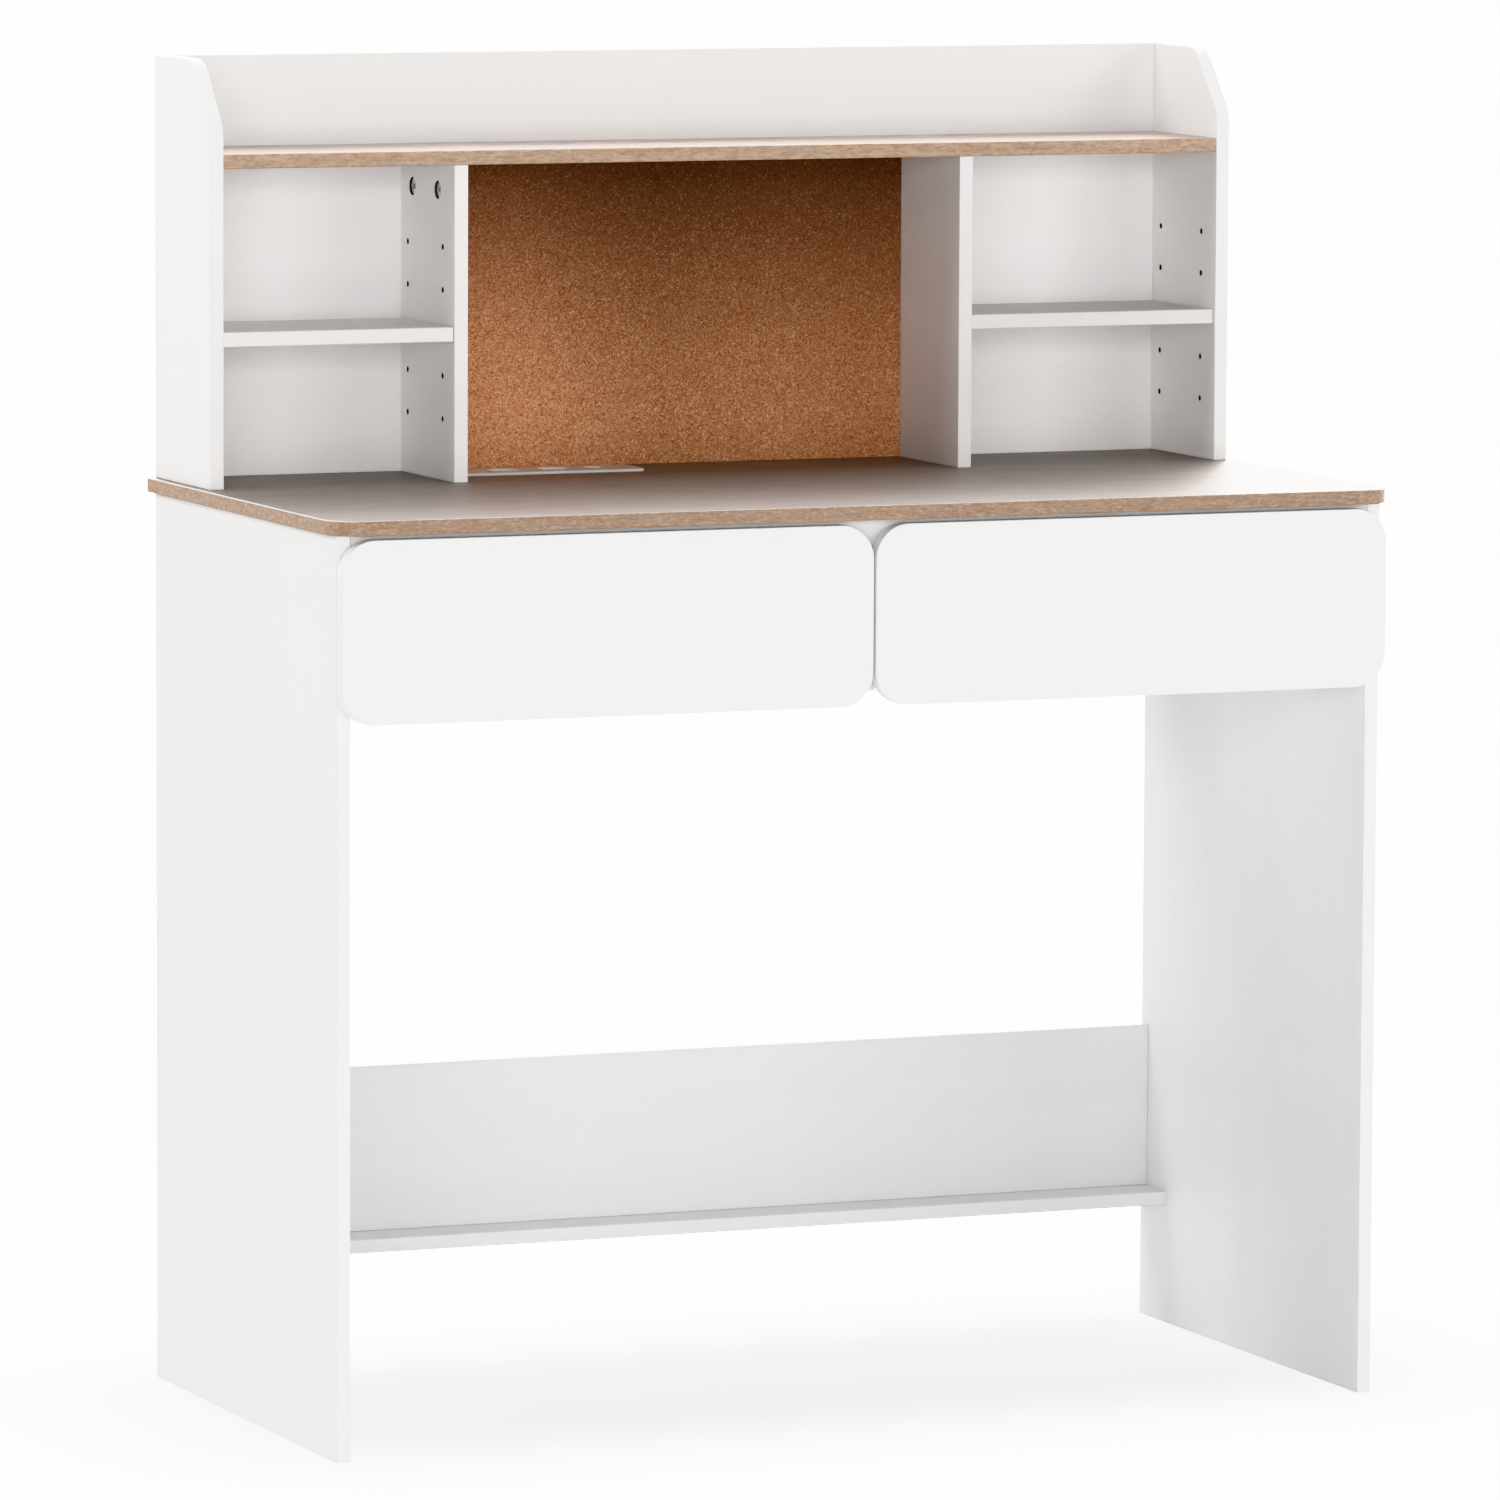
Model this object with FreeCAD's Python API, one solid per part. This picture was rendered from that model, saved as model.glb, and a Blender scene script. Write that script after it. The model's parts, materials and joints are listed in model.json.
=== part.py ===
import FreeCAD, Part
import math
import os

# Student desk with hutch.
#
# Frame: millimetres, +Z up, +X to the right as the sitter faces the desk, -Y
# towards the sitter. The origin is on the floor, under the centre of the whole
# object's bounding box.
#
# Every board is its own solid. Fastener pockets are cut into the boards with a
# little clearance round the fastener that sits in them.

V = FreeCAD.Vector
os.makedirs("parts", exist_ok=True)

# ------------------------------------------------------------------ dimensions
BOARD = 12.0               # thickness of every structural board
DESK_H = 750.0             # height of the desktop's upper face
PANEL_W = 910.0            # width over the two side panels
PANEL_D = 430.0            # depth of a side panel
TOP_OVER_SIDE = 7.0        # desktop overhang past each side panel
TOP_OVER_FRONT = 16.0      # desktop overhang past the side panels' front edge
ROUND = 28.0               # rounding of desktop, drawer front and hutch corners
EASE = 0.8                 # eased edges of the boards

Y_REAR = (PANEL_D + TOP_OVER_FRONT) / 2.0     # rear plane
Y_TOPF = -Y_REAR                              # desktop front edge
Y_PANF = Y_REAR - PANEL_D                     # side panels' front edge
X_OUT = PANEL_W / 2.0                         # outer face of a side panel
X_IN = X_OUT - BOARD                          # inner face of a side panel
Z_UND = DESK_H - BOARD                        # underside of the desktop

RAIL_INSET = 2.5           # rear boards stand this far in from the rear plane
FOOT_Z0 = 102.5            # underside of the foot rail
FOOT_D = 53.0              # depth of the foot rail
MODESTY_H = 139.5          # height of the modesty panel
FRONT_RAIL_H = 32.0        # height of the rail under the desktop's front
REAR_RAIL_H = 100.0        # height of the rail behind the drawers
DIVIDER_Z0 = 599.0         # bottom edge of the centre divider

FRONT_T = 12.0             # drawer front thickness
FRONT_GAP = 1.0            # gap between a drawer front and the panel edges
FRONT_Z0 = 588.0           # drawer front, lower edge
FRONT_Z1 = 734.5           # drawer front, upper edge
FRONT_SPLIT = 1.0          # half of the gap between the two drawer fronts

SLIDE_T = 12.7             # space one slide takes beside a drawer box
SLIDE_L = 300.0            # length of a slide
SLIDE_Z = 640.0            # height of the slides' centre line
SLIDE_Y0 = Y_PANF + 5.0    # front end of the cabinet members
TRAVEL = 220.0             # drawer travel
CAGE_L = 78.0              # length of a ball cage
BALL_R = 1.8               # ball radius
BALL_PITCH = 15.0
BALLS_PER_ROW = 5

BOX_Z0 = 603.0             # drawer box, lower edge of its sides
BOX_Z1 = 703.0             # drawer box, upper edge of its sides
BOX_Y1 = Y_PANF + 320.0    # rear end of a drawer box
BOTTOM_T = 3.0             # drawer bottom thickness
BOTTOM_Z = 611.0           # underside of the drawer bottom
GROOVE = 5.0               # depth of the drawer bottom's grooves

HUTCH_TOP = 1097.0         # top of the hutch
HUTCH_D = 135.0            # depth of the hutch sides
BACK_T = 9.0               # thickness of the hutch back panel
SHELF_Z0 = 1010.0          # underside of the hutch top shelf
DIV_L = -242.5             # left face of the left hutch divider
DIV_R = 208.0              # left face of the right hutch divider
DIV_SET = 2.0              # dividers stand back from the hutch sides' front edge
CUB_Z0 = 865.5             # underside of the small adjustable shelves
CUB_SET = 3.0              # small shelves stand back from the same edge
CORK_T = 2.0               # cork sheet

PIN_Y = (117.0, 198.0)     # the two columns of shelf pin holes
PIN_Z = (800.6, 835.9, 871.2, 906.5, 941.8)
PIN_R = 2.5
PIN_USED = 2               # index of the row the shelves stand on

CAM_R = 7.5                # cam lock radius
CAM_DIST = 24.0            # cam centre to joint plane
CAM_DEPTH = 10.0           # pocket depth
CAM_SUNK = 1.7             # how far a cam sits below the board face
BOLT_R = 2.5
DOWEL_R = 3.0

POWER_X = -138.5           # centre of the power outlet
POWER_Y = 169.0
POWER_W = 177.0
POWER_D = 46.0
POWER_LIP = 2.2            # height of the faceplate above the desktop

Y_HF = Y_REAR - HUTCH_D    # hutch sides' front edge
Y_BK = Y_REAR - BACK_T     # hutch back panel's front face

SOLIDS = {}                # node name -> list of solids
CUTS = {}                  # node name -> list of cutting tools


# --------------------------------------------------------------------- helpers
def box(x0, y0, z0, x1, y1, z1):
    return Part.makeBox(x1 - x0, y1 - y0, z1 - z0, V(x0, y0, z0))


def cyl(p, d, r, h):
    return Part.makeCylinder(r, h, V(*p), V(*d))


def cone(p, d, r0, r1, h):
    return Part.makeCone(r0, r1, h, V(*p), V(*d))


def add(node, shape):
    SOLIDS.setdefault(node, []).append(shape)


def cut(node, tool):
    CUTS.setdefault(node, []).append(tool)


def off(p, d, s):
    return (p[0] + d[0] * s, p[1] + d[1] * s, p[2] + d[2] * s)


def neg(d):
    return (-d[0], -d[1], -d[2])


def eased(shape, r=EASE):
    """A board with all its outer edges slightly eased."""
    return shape.makeFillet(r, shape.Edges)


def rounded_plate(x0, x1, z0, z1, y0, y1, r):
    """A plate standing in XZ with four rounded corners, extruded along Y."""
    k = math.sqrt(0.5) * r

    def q(x, z):
        return V(x, y0, z)

    def arc(cx, cz, sx, sz, first):
        a = q(cx + sx * r, cz)
        b = q(cx, cz + sz * r)
        m = q(cx + sx * k, cz + sz * k)
        if first == "x":
            return Part.Arc(a, m, b).toShape()
        return Part.Arc(b, m, a).toShape()

    edges = [
        Part.LineSegment(q(x0 + r, z0), q(x1 - r, z0)).toShape(),
        arc(x1 - r, z0 + r, 1, -1, "z"),
        Part.LineSegment(q(x1, z0 + r), q(x1, z1 - r)).toShape(),
        arc(x1 - r, z1 - r, 1, 1, "x"),
        Part.LineSegment(q(x1 - r, z1), q(x0 + r, z1)).toShape(),
        arc(x0 + r, z1 - r, -1, 1, "z"),
        Part.LineSegment(q(x0, z1 - r), q(x0, z0 + r)).toShape(),
        arc(x0 + r, z0 + r, -1, -1, "x"),
    ]
    return Part.Face(Part.Wire(edges)).extrude(V(0, y1 - y0, 0))


# ----------------------------------------------------------- fastener families
def cam_joint(edge_board, face_board, p, into_edge, to_face,
              cams, bolts, dist=CAM_DIST, half=BOARD / 2.0, seat=8.0):
    """A cam lock and its bolt. p is on the joint plane at the edge board's
    middle, into_edge points into the edge board, to_face towards the face the
    cam is turned from."""
    c = off(p, into_edge, dist)
    mouth = off(c, to_face, half)
    cut(edge_board, cyl(mouth, neg(to_face), CAM_R + 0.05, CAM_DEPTH))
    cut(edge_board, cyl(p, into_edge, 3.2, dist - 3.0))
    cut(face_board, cyl(p, neg(into_edge), BOLT_R + 0.05, seat))
    # cam body: a zinc drum with a driver cross and a hollow for the bolt head
    drum = cyl(off(mouth, to_face, -CAM_SUNK), neg(to_face), CAM_R - 0.05,
               CAM_DEPTH - CAM_SUNK - 0.5)
    cross_a = Part.makeBox(6.4, 1.6, 2.4, V(-3.2, -0.8, -1.2))
    cross_b = Part.makeBox(1.6, 6.4, 2.4, V(-0.8, -3.2, -1.2))
    pl = FreeCAD.Placement(V(*off(mouth, to_face, -CAM_SUNK)),
                           FreeCAD.Rotation(V(0, 0, 1), V(*to_face)))
    spin = FreeCAD.Placement(V(0, 0, 0), FreeCAD.Rotation(V(0, 0, 1), 45))
    for s in (cross_a, cross_b):
        s.Placement = pl.multiply(spin)
        drum = drum.cut(s)
    drum = drum.cut(cyl(off(p, into_edge, dist - CAM_R - 1.0), into_edge, 3.7, CAM_R + 4.5))
    add(cams, drum)
    # bolt: threaded root in the face board, shank, neck and ball head
    bolt = cyl(off(p, into_edge, -seat + 0.3), into_edge, BOLT_R, seat + dist - 7.0)
    bolt = bolt.fuse(cyl(off(p, into_edge, -0.0), into_edge, 3.1, 1.2))
    bolt = bolt.fuse(cyl(off(p, into_edge, dist - 7.2), into_edge, 1.6, 4.6))
    bolt = bolt.fuse(Part.makeSphere(2.9, V(*off(p, into_edge, dist - 1.2))))
    add(bolts, bolt.removeSplitter())


def dowel_joint(edge_board, face_board, p, into_edge, dowels,
                r=DOWEL_R, in_face=8.0, in_edge=17.0):
    """A fluted beech dowel across a joint plane."""
    a = off(p, into_edge, -in_face)
    cut(face_board, cyl(p, neg(into_edge), r + 0.05, in_face))
    cut(edge_board, cyl(p, into_edge, r + 0.05, in_edge + 1.0))
    L = in_face + in_edge - 0.4
    d = cone(off(a, into_edge, 0.2), into_edge, r - 0.8, r, 0.8)
    d = d.fuse(cyl(off(a, into_edge, 1.0), into_edge, r, L - 1.6))
    d = d.fuse(cone(off(a, into_edge, L - 0.6), into_edge, r, r - 0.8, 0.8))
    add(dowels, d.removeSplitter())


def screw(boards, p, d, length, screws, r=2.0, head_r=4.0, sink=True):
    """A countersunk wood screw. p is on the outer face, d points inwards."""
    h = head_r - r
    if sink:
        body = cone(off(p, d, 0.1), d, head_r, r, h)
        hole = cone(p, d, head_r + 0.15, r + 0.05, h + 0.1)
        body = body.fuse(cyl(off(p, d, h), d, r, length - h - 1.5))
        body = body.fuse(cone(off(p, d, length - 1.6), d, r, 0.5, 1.5))
        hole = hole.fuse(cyl(off(p, d, h), d, r + 0.05, length - h + 0.5))
        body = body.cut(Part.makeSphere(1.6, V(*off(p, d, 0.1))))
    else:
        body = cyl(off(p, d, -1.7), d, head_r, 1.65)
        body = body.fuse(cyl(off(p, d, -0.1), d, r, length - 1.4))
        body = body.fuse(cone(off(p, d, length - 1.6), d, r, 0.5, 1.5))
        hole = cyl(off(p, d, -0.2), d, r + 0.05, length + 0.7)
        body = body.cut(Part.makeSphere(1.3, V(*off(p, d, -1.7))))
    for b in boards:
        cut(b, hole)
    add(screws, body.removeSplitter())


# ------------------------------------------------------------------- the desk
# Desktop: rounded at the two front corners, square at the rear.
xt = X_OUT + TOP_OVER_SIDE
top = box(-xt, Y_TOPF, Z_UND, xt, Y_REAR, DESK_H)
front_corners = [e for e in top.Edges
                 if abs(e.Vertexes[0].Z - e.Vertexes[-1].Z) > 5
                 and e.Vertexes[0].Y < 0]
top = top.makeFillet(ROUND, front_corners)
top = top.makeFillet(1.0, [e for e in top.Edges
                           if abs(e.BoundBox.ZMin - e.BoundBox.ZMax) < 1e-6])
add("desktop", top)

add("left_side_panel", eased(box(-X_OUT, Y_PANF, 0, -X_IN, Y_REAR, Z_UND)))
add("right_side_panel", eased(box(X_IN, Y_PANF, 0, X_OUT, Y_REAR, Z_UND)))

y_rail1 = Y_REAR - RAIL_INSET
y_rail0 = y_rail1 - BOARD
modesty_z0 = FOOT_Z0 + BOARD
add("foot_rail", eased(box(-X_IN, y_rail1 - FOOT_D, FOOT_Z0, X_IN, y_rail1, modesty_z0)))
add("modesty_panel", eased(box(-X_IN, y_rail0, modesty_z0, X_IN, y_rail1,
                               modesty_z0 + MODESTY_H)))
add("rear_rail", eased(box(-X_IN, y_rail0, Z_UND - REAR_RAIL_H, X_IN, y_rail1, Z_UND)))
add("front_rail", eased(box(-X_IN, Y_PANF, Z_UND - FRONT_RAIL_H, X_IN,
                            Y_PANF + BOARD, Z_UND)))
divider = eased(box(-BOARD / 2, Y_PANF, DIVIDER_Z0, BOARD / 2, y_rail0, Z_UND), 0.6)
divider = divider.cut(box(-BOARD, Y_PANF - 1, Z_UND - FRONT_RAIL_H, BOARD,
                          Y_PANF + BOARD, Z_UND + 1))
add("centre_divider", divider)

# ------------------------------------------------------------------ the hutch
# Sides: the front top corner is cut back at a slope and rounded at both ends.
SL_TOP = 46.8              # where the slope meets the top edge, back from the front
SL_LOW = 54.2              # where it meets the front edge, down from the top


def hutch_side(x0, x1):
    pts = [V(x0, Y_HF, DESK_H), V(x0, Y_REAR, DESK_H), V(x0, Y_REAR, HUTCH_TOP),
           V(x0, Y_HF + SL_TOP, HUTCH_TOP), V(x0, Y_HF, HUTCH_TOP - SL_LOW)]
    wire = Part.makePolygon(pts + [pts[0]])
    s = Part.Face(wire).extrude(V(x1 - x0, 0, 0))
    corners = []
    for e in s.Edges:
        b = e.BoundBox
        if b.XLength > 5 and b.ZMin > HUTCH_TOP - SL_LOW - 1 and b.YMax < Y_REAR - 1:
            corners.append(e)
    s = s.makeFillet(ROUND, corners)
    return eased(s)


add("hutch_left_side", hutch_side(-X_OUT, -X_IN))
add("hutch_right_side", hutch_side(X_IN, X_OUT))
add("hutch_back_panel", eased(box(-X_IN, Y_BK, DESK_H, X_IN, Y_REAR, HUTCH_TOP), 0.5))
add("hutch_top_shelf", eased(box(-X_IN, Y_HF + 1.0, SHELF_Z0, X_IN, Y_BK, SHELF_Z0 + BOARD)))
add("hutch_left_divider", eased(box(DIV_L, Y_HF + DIV_SET, DESK_H, DIV_L + BOARD, Y_BK, SHELF_Z0), 0.6))
add("hutch_right_divider", eased(box(DIV_R, Y_HF + DIV_SET, DESK_H, DIV_R + BOARD, Y_BK, SHELF_Z0), 0.6))
add("cork_board", box(DIV_L + BOARD + 0.3, Y_BK - CORK_T, DESK_H + 0.3,
                      DIV_R - 0.3, Y_BK, SHELF_Z0 - 0.3))

# Small adjustable shelves, dropped over their pins by a notch at each end.
for node, x0, x1 in (("left_cubby_shelf", -X_IN, DIV_L),
                     ("right_cubby_shelf", DIV_R + BOARD, X_IN)):
    s = eased(box(x0 + 0.5, Y_HF + CUB_SET, CUB_Z0, x1 - 0.5, Y_BK - 0.3, CUB_Z0 + BOARD))
    for y in PIN_Y:
        for xa, xb in ((x0, x0 + 9.0), (x1 - 9.0, x1)):
            z = PIN_Z[PIN_USED]
            slot = box(xa, y - PIN_R - 0.1, CUB_Z0 - 1, xb, y + PIN_R + 0.1, z)
            slot = slot.fuse(Part.makeCylinder(PIN_R + 0.1, xb - xa, V(xa, y, z), V(1, 0, 0)))
            cut(node, slot)
    add(node, s)

for y in PIN_Y:
    for i, z in enumerate(PIN_Z):
        for board, x, d in (("hutch_left_side", -X_IN, (-1, 0, 0)),
                            ("hutch_left_divider", DIV_L, (1, 0, 0)),
                            ("hutch_right_divider", DIV_R + BOARD, (-1, 0, 0)),
                            ("hutch_right_side", X_IN, (1, 0, 0))):
            cut(board, cyl((x, y, z), d, PIN_R, 9.0))
            if i == PIN_USED:
                pin = cyl(off((x, y, z), d, 8.6), neg(d), PIN_R - 0.03, 16.6)
                pin = pin.fuse(cyl(off((x, y, z), d, -0.05), neg(d), PIN_R + 0.05, 0.5))
                add("shelf_pins", pin.removeSplitter())

# ------------------------------------------------- cam locks, bolts and dowels
zu = Z_UND
for y in (-150.0, 145.0):
    cam_joint("left_side_panel", "desktop", (-X_OUT + BOARD / 2, y, zu),
              (0, 0, -1), (1, 0, 0), "cam_locks", "cam_bolts")
    cam_joint("right_side_panel", "desktop", (X_OUT - BOARD / 2, y, zu),
              (0, 0, -1), (-1, 0, 0), "cam_locks", "cam_bolts")
    cam_joint("centre_divider", "desktop", (0, y, zu),
              (0, 0, -1), (-1, 0, 0), "cam_locks", "cam_bolts")
for y in (-105.0, 60.0):
    for b, x in (("left_side_panel", -X_OUT + BOARD / 2),
                 ("right_side_panel", X_OUT - BOARD / 2), ("centre_divider", 0.0)):
        dowel_joint(b, "desktop", (x, y, zu), (0, 0, -1), "wood_dowels")

ym = (y_rail0 + y_rail1) / 2
for sx, side in ((-1, "left_side_panel"), (1, "right_side_panel")):
    px = sx * X_IN
    inward = (-sx, 0, 0)
    cam_joint("rear_rail", side, (px, ym, zu - 30), inward, (0, 1, 0), "cam_locks", "cam_bolts")
    dowel_joint("rear_rail", side, (px, ym, zu - 75), inward, "wood_dowels")
    cam_joint("modesty_panel", side, (px, ym, modesty_z0 + 40), inward, (0, 1, 0),
              "cam_locks", "cam_bolts")
    dowel_joint("modesty_panel", side, (px, ym, modesty_z0 + 100), inward, "wood_dowels")
    cam_joint("foot_rail", side, (px, y_rail1 - 38, FOOT_Z0 + BOARD / 2), inward,
              (0, 0, -1), "cam_locks", "cam_bolts")
    dowel_joint("foot_rail", side, (px, y_rail1 - 16, FOOT_Z0 + BOARD / 2), inward,
                "wood_dowels")
    cam_joint("front_rail", side, (px, Y_PANF + BOARD / 2, zu - 20), inward, (0, 1, 0),
              "cam_locks", "cam_bolts")
    dowel_joint("front_rail", side, (px, Y_PANF + BOARD / 2, zu - 7), inward, "wood_dowels")
dowel_joint("front_rail", "desktop", (-200, Y_PANF + BOARD / 2, zu), (0, 0, -1), "wood_dowels")
dowel_joint("front_rail", "desktop", (200, Y_PANF + BOARD / 2, zu), (0, 0, -1), "wood_dowels")
dowel_joint("rear_rail", "desktop", (-300, ym, zu), (0, 0, -1), "wood_dowels")
dowel_joint("rear_rail", "desktop", (200, ym, zu), (0, 0, -1), "wood_dowels")
dowel_joint("centre_divider", "front_rail", (0, Y_PANF + BOARD, zu - 16), (0, 1, 0),
            "wood_dowels")

for sx, side in ((-1, "hutch_left_side"), (1, "hutch_right_side")):
    px = sx * X_IN
    inward = (-sx, 0, 0)
    for y in (Y_HF + 38, Y_BK - 26):
        cam_joint("hutch_top_shelf", side, (px, y, SHELF_Z0 + BOARD / 2), inward,
                  (0, 0, -1), "cam_locks", "cam_bolts")
    dowel_joint("hutch_top_shelf", side, (px, (Y_HF + Y_BK) / 2 + 6, SHELF_Z0 + BOARD / 2),
                inward, "wood_dowels")
    for y in (Y_HF + 36, Y_REAR - 36):
        dowel_joint(side, "desktop", (sx * (X_OUT - BOARD / 2), y, DESK_H), (0, 0, 1),
                    "wood_dowels")
    for z in (DESK_H + 45, DESK_H + 170, HUTCH_TOP - 45):
        dowel_joint("hutch_back_panel", side, (px, (Y_BK + Y_REAR) / 2, z), inward,
                    "wood_dowels", r=2.5, in_edge=14.0)
for x, face, b in ((DIV_L + BOARD / 2, (-1, 0, 0), "hutch_left_divider"),
                   (DIV_R + BOARD / 2, (1, 0, 0), "hutch_right_divider")):
    for y in (128.6, 187.2):
        cam_joint(b, "hutch_top_shelf", (x, y, SHELF_Z0), (0, 0, -1), face,
                  "cam_locks", "cam_bolts", dist=22.1)
    dowel_joint(b, "hutch_top_shelf", (x, 158.0, SHELF_Z0), (0, 0, -1), "wood_dowels")
    for y in (Y_HF + 34, Y_BK - 30):
        screw(["desktop", b], (x, y, Z_UND), (0, 0, 1), 38.0, "hutch_screws")
    for z in (DESK_H + 60, DESK_H + 210):
        screw(["hutch_back_panel", b], (x, Y_REAR, z), (0, -1, 0), 34.0, "hutch_screws")
for x in (-330.0, -10.0, 330.0):
    screw(["hutch_back_panel", "hutch_top_shelf"], (x, Y_REAR, SHELF_Z0 + BOARD / 2),
          (0, -1, 0), 34.0, "hutch_screws")

for x in (-300.0, 0.0, 300.0):
    screw(["foot_rail", "modesty_panel"], (x, ym, FOOT_Z0), (0, 0, 1), 34.0, "carcass_screws")
for z in (zu - 30, zu - 75):
    screw(["rear_rail", "centre_divider"], (0, y_rail1, z), (0, -1, 0), 34.0, "carcass_screws")


# ---------------------------------------------------------------- power outlet
def slab(w, d, z0, z1, r, cx=POWER_X, cy=POWER_Y):
    s = box(cx - w / 2, cy - d / 2, z0, cx + w / 2, cy + d / 2, z1)
    return s.makeFillet(r, [e for e in s.Edges if e.BoundBox.ZLength > (z1 - z0) * 0.9
                            and e.BoundBox.XLength < 1e-6 and e.BoundBox.YLength < 1e-6])


cut("desktop", slab(POWER_W - 9, POWER_D - 8, Z_UND - 1, DESK_H + 1, 6.0))
plate = slab(POWER_W, POWER_D, DESK_H, DESK_H + POWER_LIP, 7.0)
plate = plate.makeFillet(0.9, [e for e in plate.Edges
                               if e.BoundBox.ZLength < 1e-6
                               and e.BoundBox.ZMin > DESK_H + POWER_LIP - 0.01])
Z_SOCK = DESK_H + 0.7      # socket faces, sunk into the faceplate
Z_USB = DESK_H + POWER_LIP - 0.6
AC_X = (-166.7, -122.6)
USB_X = -85.7
AC_R = 15.6
AC_FLAT = 13.0             # half width of a socket face across its two flats
for x in AC_X:
    hole = cyl((x, POWER_Y, DESK_H - 1), (0, 0, 1), AC_R + 0.1, 5)
    plate = plate.cut(hole.common(box(x - AC_FLAT - 0.1, POWER_Y - 20, DESK_H - 2,
                                      x + AC_FLAT + 0.1, POWER_Y + 20, DESK_H + 6)))
plate = plate.cut(box(USB_X - 7.6, POWER_Y - 12.1, DESK_H - 1, USB_X + 7.6, POWER_Y + 12.1,
                      DESK_H + 5))
add("power_faceplate", plate)

housing = slab(POWER_W - 11, POWER_D - 10, Z_UND - 22, DESK_H, 5.5)
housing = housing.cut(slab(POWER_W - 15, POWER_D - 14, Z_UND - 20, DESK_H + 1, 4.0))
gland_x = POWER_X + (POWER_W - 11) / 2
housing = housing.cut(cyl((gland_x - 4, POWER_Y, Z_UND - 11), (1, 0, 0), 4.05, 8))
add("power_housing", housing)

for x in AC_X:
    sock = cyl((x, POWER_Y, Z_UND - 20), (0, 0, 1), AC_R, Z_SOCK - (Z_UND - 20))
    sock = sock.common(box(x - AC_FLAT, POWER_Y - 20, Z_UND - 30, x + AC_FLAT, POWER_Y + 20,
                           DESK_H + 9))
    sock = sock.makeFillet(0.5, [e for e in sock.Edges
                                 if e.BoundBox.ZLength < 1e-6 and e.BoundBox.ZMin > DESK_H])
    # two blade slots, one a little longer, and the round earth hole
    sock = sock.cut(box(x - 1.2, POWER_Y - 6.35 - 0.9, DESK_H - 11, x + 7.0, POWER_Y - 6.35 + 0.9, DESK_H + 5))
    sock = sock.cut(box(x - 0.4, POWER_Y + 6.35 - 0.9, DESK_H - 11, x + 6.2, POWER_Y + 6.35 + 0.9, DESK_H + 5))
    sock = sock.cut(cyl((x - 8.3, POWER_Y, DESK_H - 11), (0, 0, 1), 2.5, 20))
    add("power_sockets", sock)

usb = box(USB_X - 7.5, POWER_Y - 12, Z_UND - 20, USB_X + 7.5, POWER_Y + 12, Z_USB)
for dy in (-6.0, 6.0):
    usb = usb.cut(box(USB_X - 6.3, POWER_Y + dy - 2.6, DESK_H - 12, USB_X + 6.3,
                      POWER_Y + dy + 2.6, DESK_H + 5))
    usb = usb.fuse(box(USB_X - 5.2, POWER_Y + dy - 0.2, DESK_H - 12.5, USB_X + 5.2,
                       POWER_Y + dy + 1.7, DESK_H - 1.0))
add("usb_ports", usb.removeSplitter())

for s in (-1, 1):
    xe = POWER_X + s * (POWER_W - 11) / 2
    c = box(min(xe, xe + s * 11), POWER_Y - 7, Z_UND - 4.0, max(xe, xe + s * 11), POWER_Y + 7,
            Z_UND)
    leg = box(min(xe, xe + s * 1.5), POWER_Y + 5.5, Z_UND - 15,
              max(xe, xe + s * 1.5), POWER_Y + 7.0, Z_UND - 4.0)
    add("power_clamps", c.fuse(leg).removeSplitter())
inlet = cyl((gland_x - 3.5, POWER_Y, Z_UND - 11), (1, 0, 0), 4.0, 5.0)
inlet = inlet.fuse(cyl((gland_x + 0.05, POWER_Y, Z_UND - 11), (1, 0, 0), 5.2, 3.0))
inlet = inlet.cut(cyl((gland_x - 5, POWER_Y, Z_UND - 11), (1, 0, 0), 2.6, 12))
add("power_inlet", inlet.removeSplitter())


# --------------------------------------------------------------------- drawers
def slide_profile(pts, y0, y1, base, s):
    """Sheet profile in the slide's section. u runs from the cabinet face to the
    drawer side, v is height from the slide's centre line."""
    poly = [V(base + s * u, y0, SLIDE_Z + v) for u, v in pts]
    f = Part.Face(Part.makePolygon(poly + [poly[0]]))
    return f.extrude(V(0, y1 - y0, 0))


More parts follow.
